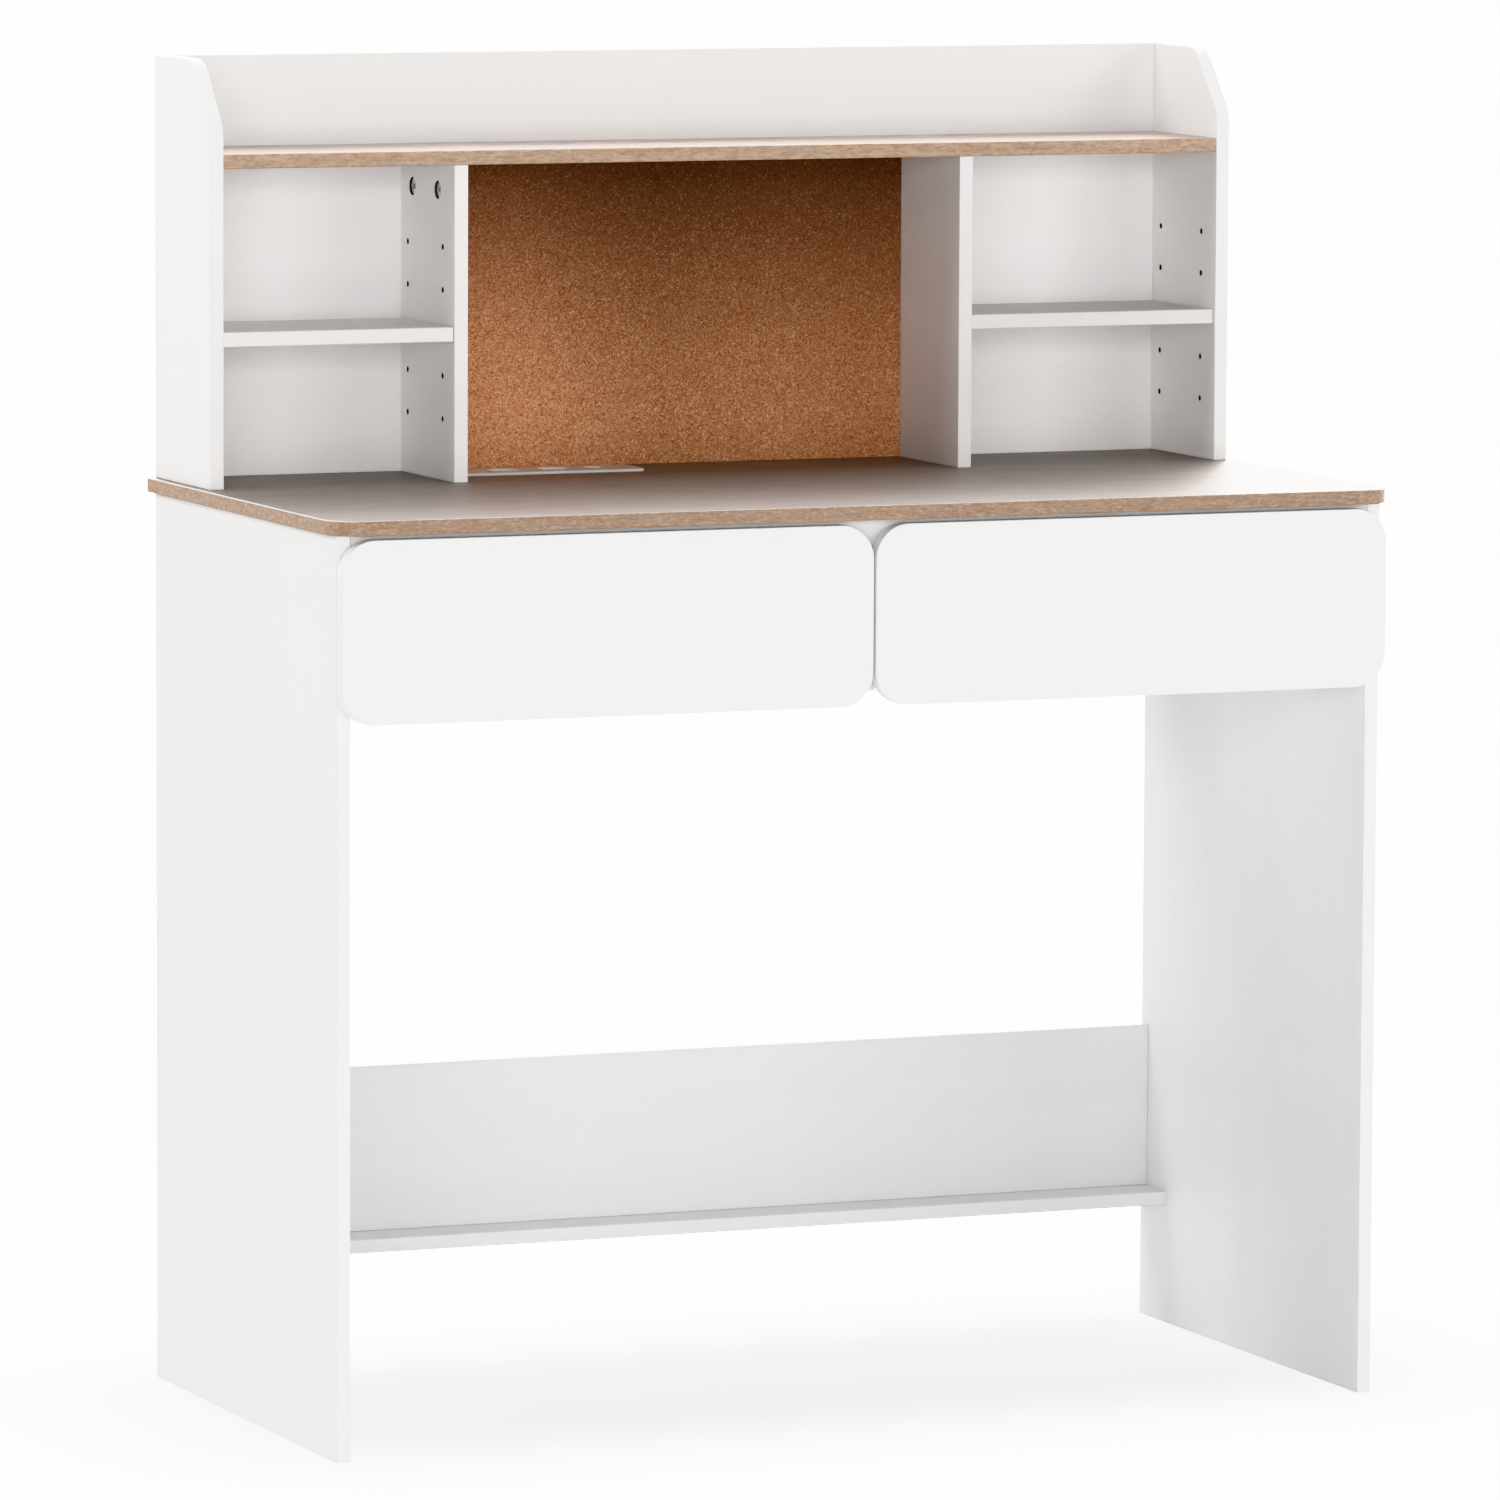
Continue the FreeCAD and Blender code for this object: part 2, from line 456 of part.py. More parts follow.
def slide_pair(prefix, which, board, base, s, drawer_side, screw_ys):
    """One ball slide. base is the X of the cabinet face, s the side of the
    drawer from there."""
    y0, y1 = SLIDE_Y0, SLIDE_Y0 + SLIDE_L
    ball_u, ball_v = 6.4, 14.85

    def groove(v, ya, yb):
        return Part.makeCylinder(BALL_R + 0.05, yb - ya,
                                 V(base + s * ball_u, ya, SLIDE_Z + v), V(0, 1, 0))

    # cabinet member: a channel open towards the drawer
    rail = slide_profile([(0, -17.5), (9.6, -17.5), (9.6, -16.3), (1.2, -16.3),
                          (1.2, 16.3), (9.6, 16.3), (9.6, 17.5), (0, 17.5)], y0, y1, base, s)
    for v in (ball_v, -ball_v):
        rail = rail.cut(groove(v, y0 - 1, y1 + 1))
    node = f"{prefix}_{which}_slide_rail"
    add(node, rail)
    # drawer member: a channel open towards the cabinet
    run = slide_profile([(12.7, -13.4), (5.0, -13.4), (5.0, -12.2), (11.5, -12.2),
                         (11.5, 12.2), (5.0, 12.2), (5.0, 13.4), (12.7, 13.4)], y0, y1, base, s)
    for v in (ball_v, -ball_v):
        run = run.cut(groove(v, y0 - 1, y1 + 1))
    rnode = f"{prefix}_{which}_runner"
    add(rnode, run)
    # ball cage and balls, at rest near the middle of the slide
    ca = Y_PANF + 115.0
    cb = ca + CAGE_L
    cage = slide_profile([(3.2, -15.3), (8.9, -15.3), (8.9, -14.4), (4.0, -14.4),
                          (4.0, 14.4), (8.9, 14.4), (8.9, 15.3), (3.2, 15.3)], ca, cb, base, s)
    for i in range(BALLS_PER_ROW):
        yb = (ca + cb) / 2 + (i - (BALLS_PER_ROW - 1) / 2) * BALL_PITCH
        for v in (ball_v, -ball_v):
            c = V(base + s * ball_u, yb, SLIDE_Z + v)
            cage = cage.cut(Part.makeSphere(BALL_R + 0.06, c))
            add(f"{prefix}_slide_balls", Part.makeSphere(BALL_R, c))
    add(f"{prefix}_ball_cages", cage)
    # screws
    for y in screw_ys:
        screw([board, node], (base + s * 1.2, y, SLIDE_Z), (-s, 0, 0), 9.6,
              "slide_rail_screws", r=1.9, head_r=3.9, sink=False)
    for y in (-150.0, -20.0, 70.0):
        screw([drawer_side, rnode], (base + s * 11.5, y, SLIDE_Z), (s, 0, 0), 9.6,
              f"{prefix}_screws", r=1.9, head_r=3.9, sink=False)


def drawer(prefix, x_open0, x_open1, x_front0, x_front1, board_l, board_r, ys_l, ys_r):
    """One drawer: rounded front, box of four boards, two slides."""
    yf1 = Y_PANF - FRONT_GAP
    yf0 = yf1 - FRONT_T
    fr = rounded_plate(x_front0, x_front1, FRONT_Z0, FRONT_Z1, yf0, yf1, ROUND)
    fr = fr.makeFillet(1.0, [e for e in fr.Edges
                             if e.BoundBox.YLength < 1e-6 and abs(e.BoundBox.YMin - yf0) < 1e-6])
    fr = fr.makeFillet(EASE, [e for e in fr.Edges
                              if e.BoundBox.YLength < 1e-6 and abs(e.BoundBox.YMin - yf1) < 1e-6])
    nf, nl, nr, nb, nt = (f"{prefix}_front", f"{prefix}_left_side", f"{prefix}_right_side",
                          f"{prefix}_back", f"{prefix}_bottom")
    add(nf, fr)
    xa, xb = x_open0 + SLIDE_T, x_open1 - SLIDE_T
    add(nl, eased(box(xa, yf1, BOX_Z0, xa + BOARD, BOX_Y1, BOX_Z1), 0.6))
    add(nr, eased(box(xb - BOARD, yf1, BOX_Z0, xb, BOX_Y1, BOX_Z1), 0.6))
    add(nb, eased(box(xa + BOARD, BOX_Y1 - BOARD, BOTTOM_Z + BOTTOM_T + 0.2, xb - BOARD,
                      BOX_Y1, BOX_Z1), 0.6))
    bz0, bz1 = BOTTOM_Z, BOTTOM_Z + BOTTOM_T
    ga, gb = xa + BOARD - GROOVE, xb - BOARD + GROOVE
    add(nt, box(ga + 0.3, yf1 - GROOVE + 0.3, bz0, gb - 0.3, BOX_Y1 - 0.5, bz1))
    groove = box(ga, yf1 - GROOVE, bz0 - 0.1, gb, BOX_Y1 + 1, bz1 + 0.1)
    for n in (nf, nl, nr):
        cut(n, groove)
    # the front is pulled on by cams in the box sides, located by dowels
    for n, x, out in ((nl, xa + BOARD / 2, (-1, 0, 0)), (nr, xb - BOARD / 2, (1, 0, 0))):
        cam_joint(n, nf, (x, yf1, 682.0), (0, 1, 0), out,
                  f"{prefix}_cam_fittings", f"{prefix}_cam_fittings")
        dowel_joint(n, nf, (x, yf1, 630.0), (0, 1, 0), f"{prefix}_dowels")
        xo = xa if out[0] < 0 else xb
        for z in (628.0, 688.0):
            screw([n, nb], (xo, BOX_Y1 - BOARD / 2, z), neg(out), 36.0, f"{prefix}_screws")
    slide_pair(prefix, "left", board_l, x_open0, 1, nl, ys_l)
    slide_pair(prefix, "right", board_r, x_open1, -1, nr, ys_r)
    # clear bumpers that meet the panel edges
    outer = x_front0 + 6.0 if prefix.startswith("left") else x_front1 - 6.0
    inner = x_front1 - 3.2 if prefix.startswith("left") else x_front0 + 3.2
    for x in (outer, inner):
        for z in (628.0, 700.0):
            b = cyl((x, yf1, z), (0, 1, 0), 2.1, FRONT_GAP - 0.1)
            add(f"{prefix}_bumpers", b)


drawer("left_drawer", -X_IN, -BOARD / 2, -X_OUT, -FRONT_SPLIT,
       "left_side_panel", "centre_divider", (-165.0, -40.0, 80.0), (-165.0, -40.0, 80.0))
drawer("right_drawer", BOARD / 2, X_IN, FRONT_SPLIT, X_OUT,
       "centre_divider", "right_side_panel", (-150.0, -25.0, 65.0), (-165.0, -40.0, 80.0))

# ---------------------------------------------------------------------- output
total = 0
for node in sorted(SOLIDS):
    done = []
    for s in SOLIDS[node]:
        tools = CUTS.get(node)
        if tools:
            near = [t for t in tools if t.BoundBox.intersect(s.BoundBox)]
            if near:
                s = s.cut(near)
        for part in s.Solids:
            done.append(part)
    shape = done[0] if len(done) == 1 else Part.makeCompound(done)
    if not shape.isValid():
        print("invalid shape:", node)
    shape.exportStep(os.path.join("parts", node + ".step"))
    total += len(done)
    print(f"{node}: {len(done)} solid(s), {shape.Volume / 1000.0:.1f} cm3")
print(len(SOLIDS), "nodes,", total, "solids")
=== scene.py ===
import json
import math

import bpy
from mathutils import Matrix, Vector

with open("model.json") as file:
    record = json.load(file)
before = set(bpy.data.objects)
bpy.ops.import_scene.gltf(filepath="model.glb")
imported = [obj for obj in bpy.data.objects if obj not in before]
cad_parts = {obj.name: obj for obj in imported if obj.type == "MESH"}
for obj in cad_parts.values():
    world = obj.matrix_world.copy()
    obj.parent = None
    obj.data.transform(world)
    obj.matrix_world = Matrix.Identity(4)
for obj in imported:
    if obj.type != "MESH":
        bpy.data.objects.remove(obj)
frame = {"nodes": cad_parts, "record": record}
nodes = frame["nodes"]
scene = bpy.context.scene
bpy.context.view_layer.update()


# ------------------------------------------------------------------ node helper
class Graph:
    """A small builder for procedural materials."""

    def __init__(self, name):
        self.mat = bpy.data.materials.new(name)
        self.mat.use_nodes = True
        self.tree = self.mat.node_tree
        self.tree.nodes.clear()

    def add(self, kind, props=None, **inputs):
        n = self.tree.nodes.new(kind)
        for k, v in (props or {}).items():
            setattr(n, k, v)
        for k, v in inputs.items():
            self.put(n, k, v)
        return n

    def put(self, n, key, value):
        if key.startswith("i") and key[1:].isdigit():
            sock = n.inputs[int(key[1:])]
        else:
            sock = n.inputs[key.replace("_", " ")]
        if isinstance(value, bpy.types.NodeSocket):
            self.tree.links.new(value, sock)
        else:
            sock.default_value = value

    def coord(self):
        return self.add("ShaderNodeTexCoord").outputs["Object"]

    def stretch(self, vec, scale, loc=(0, 0, 0), rot=(0, 0, 0)):
        n = self.add("ShaderNodeMapping", {"vector_type": "POINT"}, Vector=vec)
        n.inputs["Scale"].default_value = scale
        n.inputs["Location"].default_value = loc
        n.inputs["Rotation"].default_value = rot
        return n.outputs["Vector"]

    def noise(self, vec, scale=1.0, detail=2.0, rough=0.5, warp=0.0, colour=False):
        n = self.add("ShaderNodeTexNoise", {"noise_dimensions": "3D"}, Vector=vec,
                     Scale=scale, Detail=detail, Roughness=rough, Distortion=warp)
        return n.outputs["Color" if colour else "Fac"]

    def cells(self, vec, scale, feature="F1", out="Distance", spread=1.0):
        n = self.add("ShaderNodeTexVoronoi", {"feature": feature}, Vector=vec, Scale=scale)
        if feature != "N_SPHERE_RADIUS":
            n.inputs["Randomness"].default_value = spread
        return n.outputs[out]

    def math(self, op, a, b=0.0, c=None, clamp=False):
        n = self.add("ShaderNodeMath", {"operation": op, "use_clamp": clamp}, i0=a, i1=b)
        if c is not None:
            self.put(n, "i2", c)
        return n.outputs[0]

    def ramp(self, fac, stops, mode="LINEAR"):
        n = self.add("ShaderNodeValToRGB", Fac=fac)
        r = n.color_ramp
        r.interpolation = mode
        while len(r.elements) < len(stops):
            r.elements.new(0.5)
        for e, (p, c) in zip(r.elements, stops):
            e.position = p
            e.color = c if len(c) == 4 else (*c, 1.0)
        return n.outputs["Color"]

    def grey(self, fac, lo, hi, v0, v1):
        n = self.add("ShaderNodeMapRange", {"clamp": True}, Value=fac)
        n.inputs["From Min"].default_value = lo
        n.inputs["From Max"].default_value = hi
        n.inputs["To Min"].default_value = v0
        n.inputs["To Max"].default_value = v1
        return n.outputs["Result"]

    def choose(self, fac, a, b):
        """a where fac is 0, b where it is 1."""
        n = self.add("ShaderNodeMix", {"data_type": "FLOAT"})
        for key, v in ((0, fac), (2, a), (3, b)):
            self.tree.links.new(v, n.inputs[key])
        return n.outputs[0]

    def mix(self, fac, a, b, blend="MIX"):
        n = self.add("ShaderNodeMix", {"data_type": "RGBA", "blend_type": blend})
        for key, v in ((0, fac), (6, a), (7, b)):
            if isinstance(v, bpy.types.NodeSocket):
                self.tree.links.new(v, n.inputs[key])
            elif key == 0:
                n.inputs[0].default_value = v
            else:
                n.inputs[key].default_value = v if len(v) == 4 else (*v, 1.0)
        return n.outputs[2]

    def bump(self, height, strength, distance, normal=None):
        n = self.add("ShaderNodeBump", Height=height, Strength=strength, Distance=distance)
        if normal is not None:
            self.put(n, "Normal", normal)
        return n.outputs["Normal"]

    def axis(self, vec, which):
        return self.add("ShaderNodeSeparateXYZ", Vector=vec).outputs[which]

    def finish(self, base, rough, normal=None, metallic=0.0, ior=1.5, **fixed):
        b = self.add("ShaderNodeBsdfPrincipled")
        self.put(b, "Base Color", base if isinstance(base, bpy.types.NodeSocket) else (*base, 1.0))
        self.put(b, "Roughness", rough)
        b.inputs["Metallic"].default_value = metallic
        b.inputs["IOR"].default_value = ior
        if normal is not None:
            self.put(b, "Normal", normal)
        for k, v in fixed.items():
            self.put(b, k, v)
        out = self.add("ShaderNodeOutputMaterial")
        self.tree.links.new(b.outputs[0], out.inputs["Surface"])
        return self.mat


ALONG = {"x": 0, "y": 1, "z": 2}


def grained(along, long_scale, cross_scale):
    s = [cross_scale] * 3
    s[ALONG[along]] = long_scale
    return tuple(s)


# -------------------------------------------------------------------- materials
def edge_turn(g, thick):
    """1 on the eased edges of a board of the given thickness axis, 0 on its flat faces."""
    n = g.axis(g.add("ShaderNodeTexCoord").outputs["Normal"], "XYZ"[ALONG[thick]])
    n = g.math("ABSOLUTE", n)
    return g.math("MULTIPLY", g.grey(n, 0.10, 0.30, 0.0, 1.0), g.grey(n, 0.93, 0.99, 1.0, 0.0))


def white_board(name, along, thick, seed, tint, drilled=None, upper=1.0, low_left_shade=False,
                rear=None, front=1.0):
    """White melamine with a faint pressed wood grain that runs along one axis.

    thick is the board's thickness axis: the eased edges along it, where sheet meets edge band,
    carry a thin grey line, partly that joint and partly painted shade. tint is the mean colour of
    the sheet, on some boards a painted light or shade tint; drilled the x range of an upright
    whose pin holes show the raw chipboard core, painted near-black as painted shade; upper the
    tone of a painted shade on the upward face where it is seen at a low angle; a low_left_shade
    board has a painted shade on its left face, darker low down. rear is the unshaded sheet colour
    of the face turned away from the sitter, where the other faces carry a painted shade tint,
    front the tone of a painted shade on the edge band that faces the sitter."""
    g = Graph(name)
    c = g.coord()
    sheet, tint = tint, rear or tint
    shift = (0.37 * seed, 0.61 * seed, 0.23 * seed)
    wide = g.noise(g.stretch(c, grained(along, 2.2, 26.0), shift), 1.0, 3.0, 0.55)
    fine = g.noise(g.stretch(c, grained(along, 22.0, 620.0), shift), 1.0, 3.0, 0.6, 0.4)
    pores = g.noise(g.stretch(c, grained(along, 60.0, 1500.0), shift), 1.0, 2.0, 0.5)
    pore = g.grey(pores, 0.56, 0.70, 0.0, 1.0)
    tone = g.math("ADD", g.math("MULTIPLY", wide, 0.45), g.math("MULTIPLY", fine, 0.55))
    base = g.ramp(tone, [(0.28, tuple(t * 0.976 for t in tint)), (0.5, tint),
                         (0.72, tuple(min(t * 1.017, 0.975) for t in tint))])
    base = g.mix(g.math("MULTIPLY", pore, 0.10), base, tuple(t * 0.90 for t in tint))
    # thin grey line on the eased edges: partly the joint of sheet and edge band, partly painted
    # shade
    seam_and_shade = edge_turn(g, thick)
    base = g.mix(g.math("MULTIPLY", seam_and_shade, 0.30), base, tuple(t * k for t, k in
                                                             zip(tint, (0.60, 0.61, 0.64))))
    # the rear face keeps the plain sheet; every other face takes the painted shade tint
    if rear:
        ny = g.axis(g.add("ShaderNodeTexCoord").outputs["Normal"], "Y")
        base = g.mix(g.grey(ny, 0.90, 0.99, 1.0, 0.0), base,
                     g.mix(1.0, base, tuple(a / b for a, b in zip(sheet, rear)), "MULTIPLY"))
    # painted shade on the edge band that faces the sitter
    if front < 1.0:
        ny = g.axis(g.add("ShaderNodeTexCoord").outputs["Normal"], "Y")
        base = g.mix(g.grey(ny, -0.99, -0.90, 1.0, 0.0), base,
                     g.mix(1.0, base, (front, front, front), "MULTIPLY"))
    # painted shade: the left face darkens towards the bottom
    if low_left_shade:
        z = g.grey(g.axis(c, "Z"), 0.75, 0.95, 0.0, 1.0)
        nx = g.axis(g.add("ShaderNodeTexCoord").outputs["Normal"], "X")
        soft = g.ramp(z, [(0.0, (0.69, 0.70, 0.705)), (0.6, (0.95, 0.955, 0.96)),
                          (1.0, (1.0, 1.0, 1.0))])
        base = g.mix(g.grey(nx, -0.99, -0.90, 1.0, 0.0), base,
                     g.mix(1.0, base, soft, "MULTIPLY"))
    # painted shade on the upward face where it is seen at a low angle
    if upper < 1.0:
        nz = g.axis(g.add("ShaderNodeTexCoord").outputs["Normal"], "Z")
        low = g.grey(g.add("ShaderNodeLayerWeight", Blend=0.5).outputs["Facing"],
                     0.60, 0.84, 0.0, 1.0)
        base = g.mix(g.math("MULTIPLY", g.grey(nz, 0.90, 0.99, 0.0, 1.0), low), base,
                     g.mix(1.0, base, (upper, upper * 0.985, upper * 0.975), "MULTIPLY"))
    rough = g.math("ADD", g.grey(fine, 0.3, 0.7, 0.36, 0.46), g.math("MULTIPLY", pore, 0.06))
    h = g.math("SUBTRACT", fine, g.math("MULTIPLY", pore, 0.5))
    if drilled:
        x, y, z = (g.axis(c, a) for a in "XYZ")

        def within(v, lo, hi):
            return g.math("MULTIPLY", g.math("GREATER_THAN", v, lo), g.math("LESS_THAN", v, hi))

        # pin holes: the raw chipboard core, painted near-black as painted shade inside the holes
        core = g.math("MULTIPLY", within(x, drilled[0] + 0.0001, drilled[1] - 0.0001),
                      g.math("MULTIPLY", within(y, 0.104, 0.206), within(z, 0.785, 1.004)))
        shaded_core = g.ramp(g.noise(c, 1600.0, 3.0, 0.6), [(0.3, (0.024, 0.016, 0.012)),
                                                      (0.7, (0.060, 0.040, 0.028))])
        base = g.mix(core, base, shaded_core)
        rough = g.math("ADD", rough, g.math("MULTIPLY", core, 0.45))
    return g.finish(base, rough, g.bump(h, 0.10, 0.00035), **{"Specular IOR Level": 0.45})


def oak_board(name, seed, depth, rim_highlight, marks, low_angle_lift, along="x"):
    """Oak-decor melamine: ring figure with cathedral arches, streaks and fine pores.

    The wide faces carry a darker sheet than the warm edge band; seen at a low angle they take a
    greyer copy of it, a painted shade, scaled by low_angle_lift, which above 1 turns it into a
    painted sheen. depth scales the band, rim_highlight the strength of a painted highlight on the
    eased rim where the band meets the upper sheet, strongest toward the ends, marks the band's
    dark dashes."""
    g = Graph(name)
    c = g.coord()
    normal = g.add("ShaderNodeTexCoord").outputs["Normal"]
    nz = g.axis(normal, "Z")
    face = g.grey(g.math("ABSOLUTE", nz), 0.86, 0.97, 0.0, 1.0)
    end = g.grey(g.math("ABSOLUTE", g.axis(normal, "X")), 0.55, 0.80, 0.0, 1.0)
    rim = g.math("MULTIPLY", g.grey(nz, 0.30, 0.55, 0.0, 1.0), g.grey(nz, 0.90, 0.98, 1.0, 0.0))
    shift = (0.41 * seed, 0.17 * seed, 0.53 * seed)
    # slow drift of the whole board, then the ring coordinate bent by a long noise
    drift = g.noise(g.stretch(c, grained(along, 1.3, 9.0), shift), 1.0, 2.0, 0.5)
    bend = g.noise(g.stretch(c, grained(along, 2.6, 13.0), (shift[0] + 3, shift[1], shift[2])),
                   1.0, 3.0, 0.5, 0.3)
    v = g.stretch(c, (1, 1, 1), shift)
    cross = g.math("ADD", g.axis(v, "Y"), g.math("MULTIPLY", g.axis(v, "Z"), 1.7))
    turn = g.math("ADD", g.math("MULTIPLY", cross, 150.0), g.math("MULTIPLY", bend, 62.0))
    ring = g.grey(g.math("SINE", turn), -1.0, 1.0, 0.0, 1.0)
    ring = g.math("POWER", ring, 2.0)
    # the edge band is a narrow strip: arches across it, short dark dashes along it
    arch = g.noise(g.stretch(c, grained(along, 9.0, 42.0), shift), 1.0, 2.0, 0.5, 0.4)
    arch = g.grey(g.math("SINE", g.math("MULTIPLY", arch, 75.0)), -1.0, 1.0, 0.0, 1.0)
    streak = g.noise(g.stretch(c, grained(along, 7.0, 330.0), shift), 1.0, 4.0, 0.62, 0.2)
    dash = g.noise(g.stretch(c, grained(along, 95.0, 330.0), shift), 1.0, 4.0, 0.66, 0.7)
    dash_end = g.noise(g.stretch(c, grained("y", 95.0, 330.0), shift), 1.0, 4.0, 0.66, 0.7)
    dash = g.grey(g.choose(end, dash, dash_end), 0.46, 0.58, 0.0, 1.0)
    chip = g.noise(g.stretch(c, grained(along, 170.0, 420.0), shift), 1.0, 2.0, 0.5, 0.4)
    chip_end = g.noise(g.stretch(c, grained("y", 170.0, 420.0), shift), 1.0, 2.0, 0.5, 0.4)
    chip = g.grey(g.choose(end, chip, chip_end), 0.50, 0.64, 0.0, 1.0)
    speck = g.noise(g.stretch(c, grained(along, 240.0, 720.0), shift), 1.0, 2.0, 0.55, 0.3)
    hair = g.noise(g.stretch(c, grained(along, 24.0, 1500.0), shift), 1.0, 3.0, 0.6)
    pores = g.noise(g.stretch(c, grained(along, 75.0, 2300.0), shift), 1.0, 2.0, 0.5)
    pore = g.grey(pores, 0.55, 0.66, 0.0, 1.0)
    pore = g.math("MULTIPLY", pore, g.grey(ring, 0.1, 0.8, 0.35, 1.0))
    tone = g.math("ADD", g.math("MULTIPLY", streak, 0.7), g.math("MULTIPLY", drift, 0.3))
    warm = g.ramp(tone, [(p, tuple(d * v for d, v in zip(depth, c))) for p, c in (
        (0.30, (0.330, 0.190, 0.104)), (0.45, (0.420, 0.256, 0.150)),
        (0.58, (0.470, 0.300, 0.186)), (0.72, (0.525, 0.348, 0.236)))])
    warm = g.mix(g.math("MULTIPLY", arch, 0.16), warm, (0.250, 0.140, 0.075))
    warm = g.mix(g.math("MULTIPLY", dash, marks), warm, (0.200, 0.108, 0.057))
    warm = g.mix(g.math("MULTIPLY", chip, 0.34), warm, (0.560, 0.380, 0.250))
    warm = g.mix(g.grey(speck, 0.56, 0.66, 0.0, 0.62 * marks), warm, (0.150, 0.078, 0.042))
    warm = g.mix(g.grey(speck, 0.34, 0.44, 0.42 * marks, 0.0), warm, (0.640, 0.460, 0.330))
    # painted low-angle copy of the face sheet: darker and greyer, a painted shade, lifted by
    # low_angle_lift (above 1, a painted sheen)
    grey = g.ramp(tone, [(p, tuple(low_angle_lift * v for v in c)) for p, c in (
        (0.30, (0.105, 0.082, 0.070)), (0.45, (0.150, 0.121, 0.105)),
        (0.58, (0.180, 0.148, 0.130)), (0.72, (0.211, 0.175, 0.154)))])
    above = g.ramp(tone, [(0.30, (0.190, 0.124, 0.082)), (0.45, (0.252, 0.171, 0.117)),
                          (0.58, (0.296, 0.206, 0.144)), (0.72, (0.334, 0.238, 0.170))])
    flat = g.grey(g.add("ShaderNodeLayerWeight", Blend=0.5).outputs["Facing"], 0.50, 0.84, 0.0, 1.0)
    sheet = g.mix(flat, above, grey)
    sheet = g.mix(g.math("MULTIPLY", ring, 0.30), sheet, g.mix(flat, (0.165, 0.104, 0.068),
                                                               (0.100, 0.077, 0.065)))
    base = g.mix(face, warm, sheet)
    base = g.mix(g.grey(hair, 0.45, 0.72, 0.0, 0.22), base,
                 g.mix(face, (0.600, 0.450, 0.340), (0.260, 0.200, 0.160)))
    base = g.mix(g.math("MULTIPLY", pore, 0.45), base, (0.085, 0.055, 0.036))
    # painted highlight on the eased upper rim, strongest toward the board's ends
    end_weight = g.grey(g.math("ABSOLUTE", g.axis(normal, "X")), 0.15, 0.45, 0.30, 1.0)
    base = g.mix(g.math("MULTIPLY", g.math("MULTIPLY", rim, end_weight), rim_highlight), base,
                 (0.860, 0.830, 0.790))
    rough = g.math("ADD", g.grey(streak, 0.3, 0.7, 0.46, 0.56), g.math("MULTIPLY", pore, 0.10))
    h = g.math("SUBTRACT", g.math("ADD", g.math("MULTIPLY", streak, 0.5),
                                  g.math("MULTIPLY", hair, 0.4)), g.math("MULTIPLY", pore, 0.8))
    return g.finish(base, rough, g.bump(h, 0.10, 0.0004),
                    **{"Specular IOR Level": 0.9})


